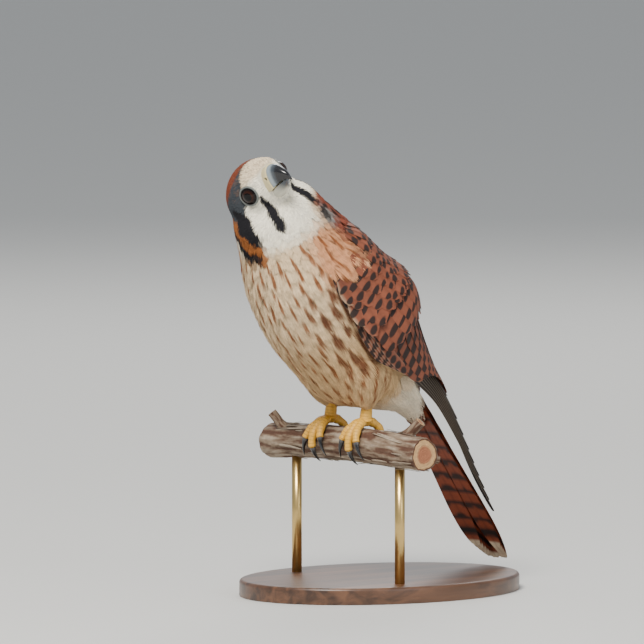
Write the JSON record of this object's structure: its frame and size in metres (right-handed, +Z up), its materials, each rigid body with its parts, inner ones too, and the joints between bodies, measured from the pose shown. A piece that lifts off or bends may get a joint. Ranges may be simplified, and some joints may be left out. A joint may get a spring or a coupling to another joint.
{
  "type": "american kestrel",
  "caption": "Life-size adult female kestrel perched on a cut length of branch over a plain display stand, her head cocked to one side to look up.",
  "frame": {"origin": "middle of the underside of the stand's base", "axes": "+Z up; the bird's body faces -Y, her left side is +X"},
  "size_m": [0.112, 0.1651, 0.2111],
  "materials": {
    "head_feathers": "soft matt feathers, slate with rufous, white and black marks",
    "body_feathers": "soft matt feathers, cream with rufous-brown streaks",
    "wing_feathers": "smooth matt feathers, rufous with black bars, black primaries",
    "tail_feathers": "smooth matt feathers, rufous with narrow black bars",
    "eye": "wet, very dark brown",
    "cere": "waxy pale yellow skin",
    "beak": "glossy horn, blue-grey to black",
    "leg_scales": "scaled yellow skin",
    "claw": "glossy black horn",
    "bark": "rough shredding bark with cut ends",
    "stand_wood": "dark satin wood",
    "stand_rod": "satin"
  },
  "bodies": {
    "root": {"head": "head_feathers", "neck": "body_feathers", "torso": "body_feathers", "wing_left": "wing_feathers", "wing_right": "wing_feathers", "tail": "tail_feathers", "thigh_left": "body_feathers", "thigh_right": "body_feathers", "eye_left": "eye", "eye_right": "eye", "cere": "cere", "beak_upper": "beak", "beak_lower": "beak", "foot_left": "leg_scales", "foot_right": "leg_scales", "claw_left_inner": "claw", "claw_left_middle": "claw", "claw_left_outer": "claw", "claw_left_hind": "claw", "claw_right_inner": "claw", "claw_right_middle": "claw", "claw_right_outer": "claw", "claw_right_hind": "claw", "perch": "bark", "stand_base": "stand_wood", "stand_rod_left": "stand_rod", "stand_rod_right": "stand_rod"}
  },
  "joints": []
}
